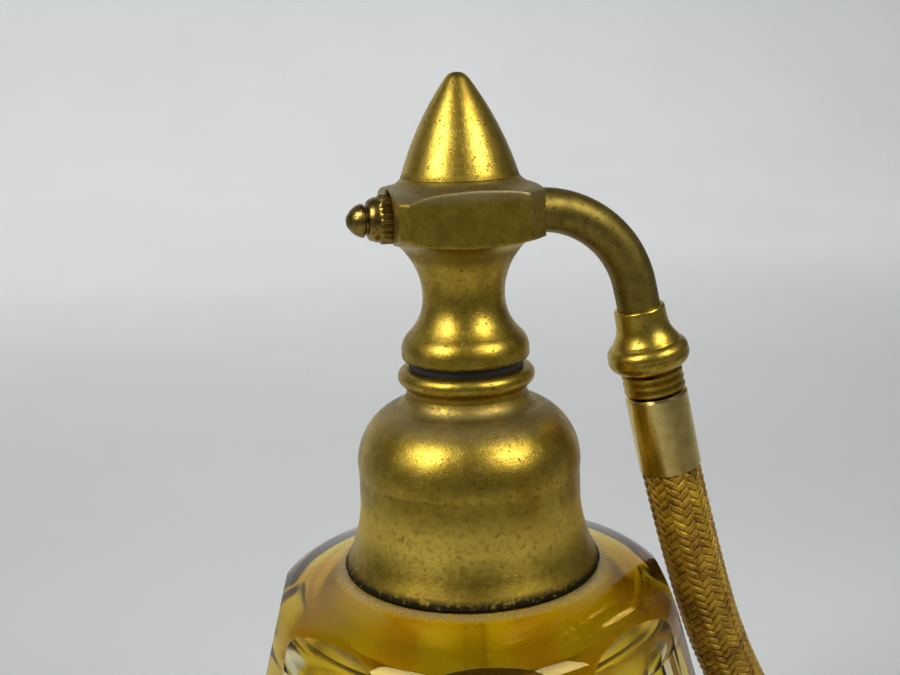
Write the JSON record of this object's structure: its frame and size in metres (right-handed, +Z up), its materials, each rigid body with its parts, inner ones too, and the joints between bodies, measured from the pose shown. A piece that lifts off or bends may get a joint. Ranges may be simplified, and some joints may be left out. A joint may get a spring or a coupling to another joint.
{
  "type": "perfume atomiser",
  "caption": "Squeeze-bulb perfume atomiser: flared amber glass bottle with ground windows, gilt brass collar and head, elbow, braided hose and netted bulb.",
  "frame": {"origin": "centre of the bottle's base, on the surface it stands on", "axes": "+Z up along the bottle's axis; the spray nozzle points along -X and the elbow leaves the head along +X"},
  "size_m": [0.1287, 0.1369, 0.1137],
  "materials": {
    "amber_glass": "polished amber with clear ground windows",
    "clear_glass": "clear drawn tube",
    "plaster": "matte, set plaster",
    "gilt_brass": "worn satin gilt with dark pits",
    "plain_brass": "machined",
    "bright_brass": "polished",
    "dark_brass": "darkened, knurled",
    "cork": "matte, pressed cork",
    "black_rubber": "matte",
    "bulb_rubber": "matte",
    "gold_braid": "silk braid",
    "gold_net": "knotted silk net",
    "steel": "ground balls"
  },
  "bodies": {
    "bottle": {"glass_bottle": "amber_glass", "neck_cement": "plaster", "collar_shell": "gilt_brass", "collar_bush": "plain_brass", "neck_washer": "cork"},
    "gasket": {"neck_gasket": "black_rubber"},
    "head": {"stem_body": "gilt_brass", "stem_plug": "plain_brass", "finial_cap": "gilt_brass", "dip_tube": "clear_glass", "jet_needle": "plain_brass", "nozzle_bush": "plain_brass", "elbow_tube": "gilt_brass", "elbow_ferrule": "gilt_brass", "coupling_washer": "black_rubber", "hose_coupling": "plain_brass", "hose_sleeve": "bright_brass", "hose_braid": "gold_braid", "hose_liner": "black_rubber", "bulb_ferrule": "bright_brass", "outlet_valve_body": "plain_brass", "rubber_bulb": "bulb_rubber", "net_cover": "gold_net"},
    "nozzle": {"nozzle_ring": "dark_brass", "nozzle_tip": "dark_brass"},
    "outlet_ball": {"outlet_valve_ball": "steel"},
    "bulb_tail": {"tail_cap": "bright_brass", "inlet_valve_body": "plain_brass"},
    "inlet_ball": {"inlet_valve_ball": "steel"}
  },
  "joints": [
    {"name": "head_lift", "type": "slide", "parent": "bottle", "child": "gasket", "axis": [0, 0, 1], "range_m": [0, 0.085]},
    {"name": "head_turn", "type": "hinge", "parent": "gasket", "child": "head", "pos_m": [0, 0, 0.0836], "axis": [0, 0, 1], "range_deg": [-180, 180]},
    {"name": "nozzle_turn", "type": "hinge", "parent": "head", "child": "nozzle", "pos_m": [-0.008, 0, 0.0992], "axis": [-1, 0, 0], "range_deg": [0, 270]},
    {"name": "bulb_squeeze", "type": "slide", "parent": "head", "child": "bulb_tail", "axis": [-0.2011, 0.9387, -0.2799], "range_m": [0, 0.012], "stiffness_N_per_m": 300, "deforming": ["rubber_bulb", "net_cover"]},
    {"name": "outlet_valve", "type": "slide", "parent": "head", "child": "outlet_ball", "axis": [0.2011, -0.9387, 0.2799], "range_m": [0, 0.0008]},
    {"name": "inlet_valve", "type": "slide", "parent": "bulb_tail", "child": "inlet_ball", "axis": [0.2011, -0.9387, 0.2799], "range_m": [0, 0.0008]}
  ]
}
